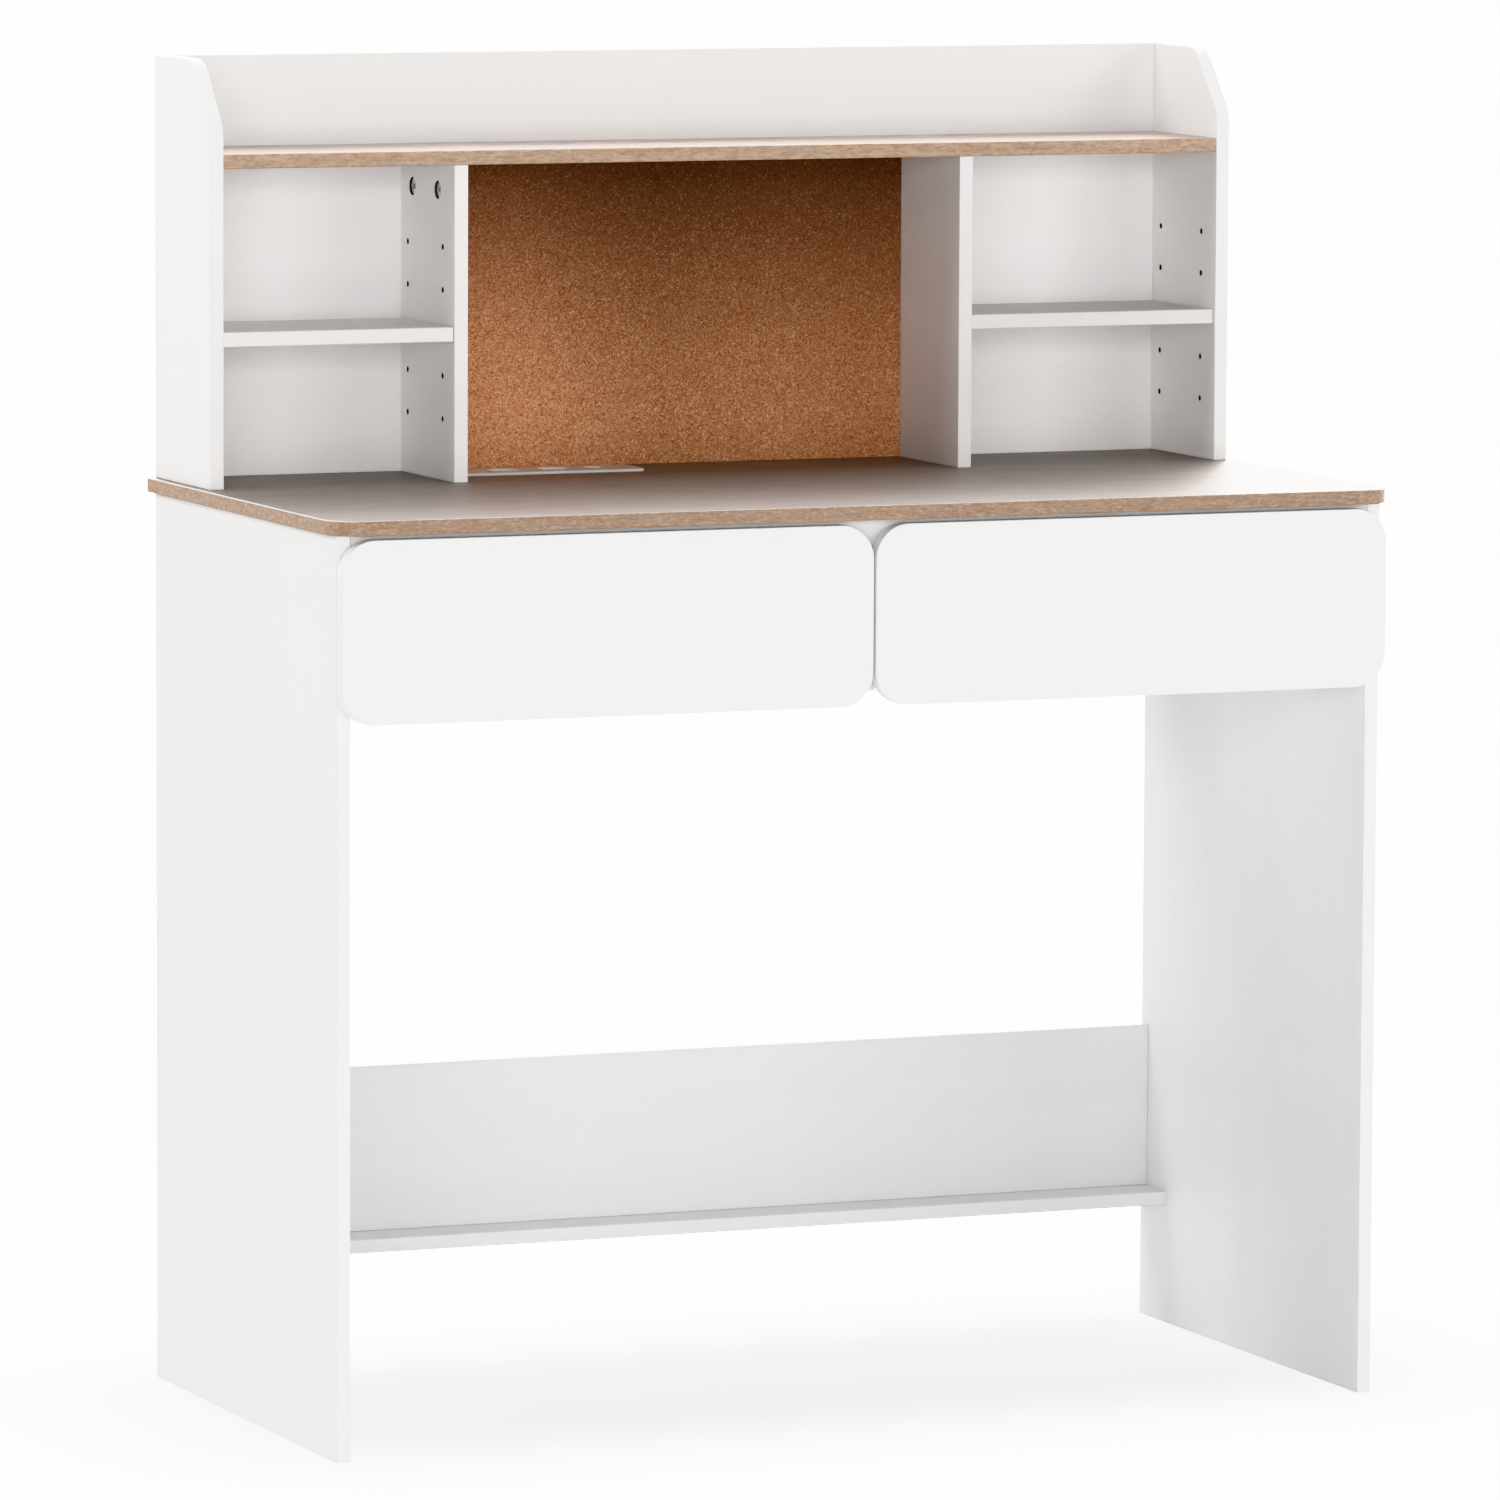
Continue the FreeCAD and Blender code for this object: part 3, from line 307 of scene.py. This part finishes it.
def cork_sheet(name):
    """Pressed fine-grain cork: crumbs of mixed brown, bright flecks, a painted shade over its upper
    part.
    """
    g = Graph(name)
    c = g.coord()
    bent = g.add("ShaderNodeVectorMath", {"operation": "ADD"})
    wob = g.add("ShaderNodeVectorMath", {"operation": "SCALE"})
    g.tree.links.new(g.noise(c, 900.0, 2.0, 0.5, colour=True), wob.inputs[0])
    wob.inputs["Scale"].default_value = 0.0007
    g.tree.links.new(c, bent.inputs[0])
    g.tree.links.new(wob.outputs[0], bent.inputs[1])
    p = bent.outputs[0]
    big = g.cells(p, 760.0, out="Color")
    edge = g.cells(p, 760.0, "DISTANCE_TO_EDGE", "Distance")
    crumb = g.cells(p, 950.0, out="Color")
    tone_big = g.axis(big, "X")
    tone_crumb = g.axis(crumb, "Y")
    cloud = g.noise(c, 60.0, 4.0, 0.6)
    mix = g.math("ADD", g.math("MULTIPLY", tone_big, 0.40),
                 g.math("ADD", g.math("MULTIPLY", tone_crumb, 0.52),
                        g.math("MULTIPLY", cloud, 0.16)))
    base = g.ramp(mix, [(0.12, (0.440, 0.174, 0.086)), (0.34, (0.690, 0.296, 0.154)),
                        (0.60, (0.920, 0.432, 0.240)), (0.80, (0.980, 0.530, 0.305)),
                        (0.92, (1.000, 0.640, 0.390))])
    gap = g.grey(edge, 0.0, 0.12, 1.0, 0.0)
    base = g.mix(g.math("MULTIPLY", gap, 0.30), base, (0.260, 0.105, 0.052))
    fleck = g.grey(g.axis(big, "Z"), 0.945, 0.965, 0.0, 1.0)
    base = g.mix(g.math("MULTIPLY", fleck, 0.32), base, (0.220, 0.088, 0.045))
    # painted shade: the sheet darkens toward its top, under the shelf, and a little less at the left
    # end
    up = g.math("SUBTRACT", g.grey(g.axis(c, "Z"), 0.75, 1.01, 0.0, 1.0),
                g.grey(g.axis(c, "X"), -0.231, -0.08, 0.13, 0.0))
    shelf_shade = g.ramp(up, [(0.15, (1.0, 1.0, 1.0)), (0.34, (0.87, 0.87, 0.88)),
                        (0.50, (0.66, 0.65, 0.67)), (0.75, (0.38, 0.37, 0.40)),
                        (0.92, (0.22, 0.21, 0.24))])
    # painted shade across the width: brightest at the left end, darkest in the middle
    width_shade = g.ramp(g.grey(g.axis(c, "X"), -0.231, 0.208, 0.0, 1.0),
                  [(0.0, (1.0, 1.0, 1.0)), (0.50, (0.60, 0.60, 0.60)), (1.0, (0.76, 0.76, 0.76))])
    base = g.mix(1.0, g.mix(1.0, base, shelf_shade, "MULTIPLY"), width_shade, "MULTIPLY")
    # the cork's own bright flecks, dimmed toward the top along with the painted shade
    glint = g.math("MULTIPLY", g.grey(g.axis(crumb, "Z"), 0.900, 0.930, 0.0, 1.0),
                   g.grey(up, 0.10, 0.90, 0.40, 0.11))
    base = g.mix(glint, base, (1.000, 0.780, 0.450))
    h = g.math("ADD", g.math("MULTIPLY", tone_big, 0.5),
               g.math("SUBTRACT", g.math("MULTIPLY", tone_crumb, 0.3), gap))
    rough = g.grey(mix, 0.1, 0.9, 0.80, 0.95)
    return g.finish(base, rough, g.bump(h, 0.35, 0.0004), **{"Specular IOR Level": 0.10})


def metal(name, tone, rough_lo, rough_hi, scratch=(900.0, 900.0, 900.0), tint=0.05, bump=0.08):
    """Plated or cast metal: cloudy tone, fine marks and uneven gloss."""
    g = Graph(name)
    c = g.coord()
    cloud = g.noise(c, 160.0, 3.0, 0.6)
    marks = g.noise(g.stretch(c, scratch), 1.0, 3.0, 0.65)
    lo = tuple(t * (1 - tint) for t in tone)
    hi = tuple(min(1.0, t * (1 + tint)) for t in tone)
    base = g.ramp(cloud, [(0.3, lo), (0.7, hi)])
    base = g.mix(g.grey(marks, 0.58, 0.75, 0.0, 0.25), base, tuple(t * 0.7 for t in tone))
    rough = g.grey(marks, 0.3, 0.7, rough_lo, rough_hi)
    return g.finish(base, rough, g.bump(marks, bump, 0.0002), metallic=1.0)


def plastic(name, tone, rough, grain, bump, spec=0.5, coat=0.0):
    """Moulded plastic with a fine moulded texture and slight flow variation."""
    g = Graph(name)
    c = g.coord()
    flow = g.noise(c, 35.0, 2.0, 0.5)
    skin = g.noise(c, grain, 2.0, 0.5)
    base = g.ramp(flow, [(0.3, tuple(t * 0.97 for t in tone)), (0.7, tone)])
    r = g.math("ADD", g.grey(skin, 0.3, 0.7, rough - 0.03, rough + 0.04), 0.0)
    fixed = {"Specular IOR Level": spec}
    if coat:
        fixed["Coat Weight"] = coat
        fixed["Coat Roughness"] = 0.06
    return g.finish(base, r, g.bump(skin, bump, 0.0002), **fixed)


def outlet_plastic(name, tone, depth_z):
    """White socket plastic whose slots fall off to a painted near-black inside: painted shade deep
    in the slots.
    """
    g = Graph(name)
    c = g.coord()
    skin = g.noise(c, 2400.0, 2.0, 0.5)
    flow = g.noise(c, 60.0, 2.0, 0.5)
    white = g.ramp(flow, [(0.3, tuple(t * 0.96 for t in tone)), (0.7, tone)])
    z = g.axis(c, "Z")
    # painted shade: near-black below depth_z, deep in the slots
    depth = g.grey(z, depth_z - 0.0012, depth_z, 1.0, 0.0)
    base = g.mix(depth, white, (0.020, 0.020, 0.022))
    return g.finish(base, g.grey(skin, 0.3, 0.7, 0.20, 0.28), g.bump(skin, 0.05, 0.0002),
                    **{"Specular IOR Level": 0.5})


def beech(name):
    g = Graph(name)
    c = g.coord()
    grain = g.noise(c, 900.0, 3.0, 0.6)
    fleck = g.grey(g.noise(c, 2600.0, 2.0, 0.5), 0.58, 0.68, 0.0, 0.6)
    base = g.ramp(grain, [(0.3, (0.50, 0.32, 0.18)), (0.7, (0.66, 0.46, 0.28))])
    base = g.mix(fleck, base, (0.36, 0.20, 0.10))
    return g.finish(base, g.grey(grain, 0.3, 0.7, 0.5, 0.65), g.bump(grain, 0.2, 0.0003))


def silicone(name):
    g = Graph(name)
    c = g.coord()
    haze = g.noise(c, 1500.0, 2.0, 0.5)
    base = g.ramp(haze, [(0.3, (0.78, 0.80, 0.82)), (0.7, (0.88, 0.89, 0.90))])
    return g.finish(base, g.grey(haze, 0.3, 0.7, 0.15, 0.3), g.bump(haze, 0.05, 0.0001),
                    ior=1.42, **{"Transmission Weight": 0.55})


def hardboard(name):
    """Thin painted board: smooth lacquer with a faint fibre mottle."""
    g = Graph(name)
    c = g.coord()
    fibre = g.noise(g.stretch(c, (300.0, 300.0, 300.0)), 1.0, 4.0, 0.7, 1.0)
    cloud = g.noise(c, 22.0, 3.0, 0.5)
    base = g.ramp(g.math("ADD", g.math("MULTIPLY", fibre, 0.5), g.math("MULTIPLY", cloud, 0.5)),
                  [(0.3, (0.80, 0.80, 0.79)), (0.7, (0.86, 0.86, 0.85))])
    return g.finish(base, g.grey(fibre, 0.3, 0.7, 0.42, 0.55), g.bump(fibre, 0.12, 0.0003))


VERTICAL = {"left_side_panel", "right_side_panel", "hutch_left_side", "hutch_right_side",
            "hutch_left_divider", "hutch_right_divider", "centre_divider"}
ALONG_Y = {"left_drawer_left_side", "left_drawer_right_side",
           "right_drawer_left_side", "right_drawer_right_side"}
DRILLED = {"hutch_left_side": (-0.455, -0.443), "hutch_right_side": (0.443, 0.455),
           "hutch_left_divider": (-0.2425, -0.2305), "hutch_right_divider": (0.208, 0.220)}
# sheet colours: the hutch takes a warmer, lighter tint as painted bounce light from the oak, the low
# boards under the desk a greyer tint as painted shade
PLAIN, BOUNCE_LIT_TINT, PAINTED_SHADE_TINT = (0.908, 0.906, 0.902), (0.955, 0.948, 0.943), (0.785, 0.785, 0.783)
SHADED_LOW_BOARDS = {"modesty_panel", "foot_rail", "front_rail", "centre_divider"}
FLAT_BOARDS = {"foot_rail", "left_cubby_shelf", "right_cubby_shelf"}
# painted shade on the cubby shelf tops
TOP_FACE_SHADE = {"left_cubby_shelf": 0.94, "right_cubby_shelf": 0.67}
# painted shade on the front edges of the right-hand boards
FRONT_EDGE_SHADE = {"hutch_right_divider": 0.88, "right_cubby_shelf": 0.88}
slot_of = {p["node"]: p["material_slot"] for p in frame["record"]["subparts"]}

shared = {
    "cork": cork_sheet("cork"),
    "zinc_alloy": metal("zinc_alloy", (0.70, 0.71, 0.80), 0.34, 0.50, tint=0.08),
    "plated_steel": metal("plated_steel", (0.66, 0.67, 0.69), 0.25, 0.40),
    "slide_steel": metal("slide_steel", (0.68, 0.69, 0.71), 0.26, 0.40, (1800.0, 40.0, 1800.0)),
    "cage_steel": metal("cage_steel", (0.52, 0.53, 0.55), 0.32, 0.46),
    "ball_steel": metal("ball_steel", (0.80, 0.80, 0.82), 0.06, 0.12, bump=0.02),
    "beech": beech("beech"),
    "clear_silicone": silicone("clear_silicone"),
    "white_hardboard": hardboard("white_hardboard"),
    "gloss_white_plastic": plastic("gloss_white_plastic", (0.67, 0.665, 0.655), 0.20, 1400.0, 0.03,
                                   coat=0.1),
    "socket_plastic": outlet_plastic("socket_plastic", (0.78, 0.78, 0.77), 0.7497),
    "usb_plastic": outlet_plastic("usb_plastic", (0.74, 0.74, 0.74), 0.7512),
    "black_plastic": plastic("black_plastic", (0.030, 0.030, 0.033), 0.52, 2600.0, 0.12, 0.4),
}
for i, (n, o) in enumerate(sorted(nodes.items())):
    s = slot_of[n]
    if s == "white_laminate":
        along = "z" if n in VERTICAL else "y" if n in ALONG_Y else "x"
        tint = BOUNCE_LIT_TINT if n.startswith("hutch") else PAINTED_SHADE_TINT if n in SHADED_LOW_BOARDS else PLAIN
        thick = "x" if n in VERTICAL | ALONG_Y else "z" if n in FLAT_BOARDS else "y"
        mat = white_board(f"white_board_{n}", along, thick, i + 1, tint, DRILLED.get(n),
                          TOP_FACE_SHADE.get(n, 1.0), n == "hutch_right_divider",
                          PLAIN if n in SHADED_LOW_BOARDS else None, FRONT_EDGE_SHADE.get(n, 1.0))
    elif s == "oak_laminate":
        # desktop: painted shade at a low angle, strong painted rim highlight; hutch shelf: painted
        # sheen at a low angle, faint rim highlight
        mat = oak_board(f"oak_board_{n}", *(
            (3, (0.72, 0.72, 0.72), 0.85, 0.66, 1.0) if n == "desktop"
            else (8, (1.16, 1.24, 1.36), 0.35, 0.45, 2.8)))
    else:
        mat = shared[s]
    if not o.data.materials:
        o.data.materials.append(mat)
    for k in range(len(o.data.materials)):
        o.data.materials[k] = mat


# ----------------------------------------------------------------------- stage
def floor_material():
    """White paper floor: keeps the soft shadow near the feet and deepens it with a painted shadow, a
    glow seen by the camera that is low over the desk's footprint and fades up to pure white outside.
    """
    g = Graph("studio_floor")
    c = g.coord()
    n = g.noise(c, 3.0, 2.0, 0.5)
    base = g.ramp(n, [(0.3, (0.895, 0.895, 0.895)), (0.7, (0.905, 0.905, 0.905))])
    # painted shadow: the glow the camera sees is lowest over the desk's footprint and rises with
    # distance from it
    x = g.math("MAXIMUM", g.math("SUBTRACT", g.math("ABSOLUTE", g.axis(c, "X")), 0.36), 0.0)
    y = g.math("MAXIMUM", g.math("SUBTRACT", g.math("ABSOLUTE", g.axis(c, "Y")), 0.06), 0.0)
    away = g.math("SQRT", g.math("ADD", g.math("MULTIPLY", x, x), g.math("MULTIPLY", y, y)))
    shadow_fade = g.math("POWER", g.math("DIVIDE", away, 0.42, clamp=True), 2.6)
    glow = g.math("ADD", 0.50, g.math("MULTIPLY", shadow_fade, 5.2))
    cam_ray = g.add("ShaderNodeLightPath").outputs["Is Camera Ray"]
    strength = g.math("ADD", g.math("MULTIPLY", cam_ray, glow),
                      g.math("MULTIPLY", g.math("SUBTRACT", 1.0, cam_ray), 0.15))
    return g.finish(base, 0.9, **{"Specular IOR Level": 0.0,
                                  "Emission Color": (1.0, 1.0, 1.0, 1.0),
                                  "Emission Strength": strength})


me = bpy.data.meshes.new("studio_floor")
R = 45.0
me.from_pydata([(-R, -R, 0), (R, -R, 0), (R, R, 0), (-R, R, 0)], [], [(0, 1, 2, 3)])
floor = bpy.data.objects.new("studio_floor", me)
scene.collection.objects.link(floor)
floor.data.materials.append(floor_material())

world = bpy.data.worlds.new("studio")
scene.world = world
world.use_nodes = True
wt = world.node_tree
wt.nodes.clear()
paths = wt.nodes.new("ShaderNodeLightPath")
where = wt.nodes.new("ShaderNodeTexCoord")
split = wt.nodes.new("ShaderNodeSeparateXYZ")
wt.links.new(where.outputs["Generated"], split.inputs[0])
backdrop = wt.nodes.new("ShaderNodeMapRange")       # bright sweep behind the desk
backdrop.interpolation_type = "SMOOTHSTEP"
backdrop.inputs["From Min"].default_value = -0.20
backdrop.inputs["From Max"].default_value = 0.75
backdrop.inputs["To Min"].default_value = 0.0
backdrop.inputs["To Max"].default_value = 3.4
wt.links.new(split.outputs["Y"], backdrop.inputs["Value"])
window = wt.nodes.new("ShaderNodeMapRange")         # and a tall window on its right half
window.interpolation_type = "SMOOTHSTEP"
window.inputs["From Min"].default_value = -0.15
window.inputs["From Max"].default_value = 0.30
window.inputs["To Min"].default_value = 1.0
window.inputs["To Max"].default_value = 4.07
wt.links.new(split.outputs["X"], window.inputs["Value"])
bright = wt.nodes.new("ShaderNodeMath")
bright.operation = "MULTIPLY_ADD"
bright.inputs[2].default_value = 1.0                # the plain room in front
wt.links.new(backdrop.outputs["Result"], bright.inputs[0])
wt.links.new(window.outputs["Result"], bright.inputs[1])
by_gloss = wt.nodes.new("ShaderNodeMapRange")
by_gloss.inputs["To Min"].default_value = 0.20      # what the dome gives as light
wt.links.new(bright.outputs[0], by_gloss.inputs["To Max"])
wt.links.new(paths.outputs["Is Glossy Ray"], by_gloss.inputs["Value"])
power = wt.nodes.new("ShaderNodeMapRange")
power.inputs["To Max"].default_value = 6.0          # what the camera sees behind the floor
wt.links.new(by_gloss.outputs["Result"], power.inputs["To Min"])
wt.links.new(paths.outputs["Is Camera Ray"], power.inputs["Value"])
bg = wt.nodes.new("ShaderNodeBackground")
bg.inputs["Color"].default_value = (1.0, 1.0, 1.0, 1.0)
wt.links.new(power.outputs["Result"], bg.inputs["Strength"])
wo = wt.nodes.new("ShaderNodeOutputWorld")
wt.links.new(bg.outputs[0], wo.inputs["Surface"])


def softbox(name, azimuth, elevation, w, h, glow, distance=4.6):
    """A soft rectangular panel aimed at the middle of the desk."""
    a, e = math.radians(azimuth), math.radians(elevation)
    to = Vector((0.0, 0.0, 0.75))
    at = to + distance * Vector((math.sin(a) * math.cos(e), -math.cos(a) * math.cos(e), math.sin(e)))
    d = bpy.data.lights.new(name, "AREA")
    d.shape = "RECTANGLE"
    d.size, d.size_y = w, h
    d.energy = math.pi * w * h * glow
    o = bpy.data.objects.new(name, d)
    scene.collection.objects.link(o)
    o.location = at
    o.rotation_mode = "QUATERNION"
    o.rotation_quaternion = (to - at).to_track_quat("-Z", "Y")
    o.visible_camera = False


# name, azimuth from the front, elevation, width, height, radiance
for name, az, el, w, h, glow in (
        ("front_left", -30, 4, 2.0, 1.4, 5.9), ("front", 0, 4, 2.0, 1.4, 2.5),
        ("front_right", 30, 4, 2.0, 1.4, 3.4), ("wide_right", 50, 4, 2.0, 1.4, 0.8),
        ("right_high", 50, 22, 2.0, 1.4, 1.9), ("key", -8, 15, 0.8, 0.3, 21.0),
        ("left_high", -100, 28, 2.0, 1.4, 9.0), ("left_low", -115, 7, 2.0, 1.4, 0.9),
        ("top", 0, 88, 2.0, 1.4, 6.7), ("right", 95, 16, 2.0, 1.4, 6.0),
        ("rear", 175, 18, 2.0, 1.4, 4.0)):
    softbox(name, az, el, w, h, glow)

# ---------------------------------------------------------------------- camera
cam_data = bpy.data.cameras.new("camera")
cam = bpy.data.objects.new("camera", cam_data)
scene.collection.objects.link(cam)
cam_data.sensor_fit = "HORIZONTAL"
cam_data.sensor_width = 36.0
cam_data.sensor_height = 36.0
cam_data.lens = 243.945
cam_data.clip_start, cam_data.clip_end = 0.1, 200.0
cam_data.dof.use_dof = False
yaw, pitch, roll = (math.radians(a) for a in (22.610, 6.327, 0.264))
ahead = Vector((math.sin(yaw) * math.cos(pitch), math.cos(yaw) * math.cos(pitch), -math.sin(pitch)))
right = Vector((math.cos(yaw), -math.sin(yaw), 0.0))
up = right.cross(ahead)
r2 = right * math.cos(roll) + up * math.sin(roll)
u2 = up * math.cos(roll) - right * math.sin(roll)
m = Matrix((r2, u2, -ahead)).transposed().to_4x4()
m.translation = Vector((-3.20748, -7.66204, 1.45086))
cam.matrix_world = m
scene.camera = cam

scene.view_settings.view_transform = "Khronos PBR Neutral"
scene.view_settings.look = "None"
scene.view_settings.exposure = 0.0
scene.view_settings.gamma = 1.0
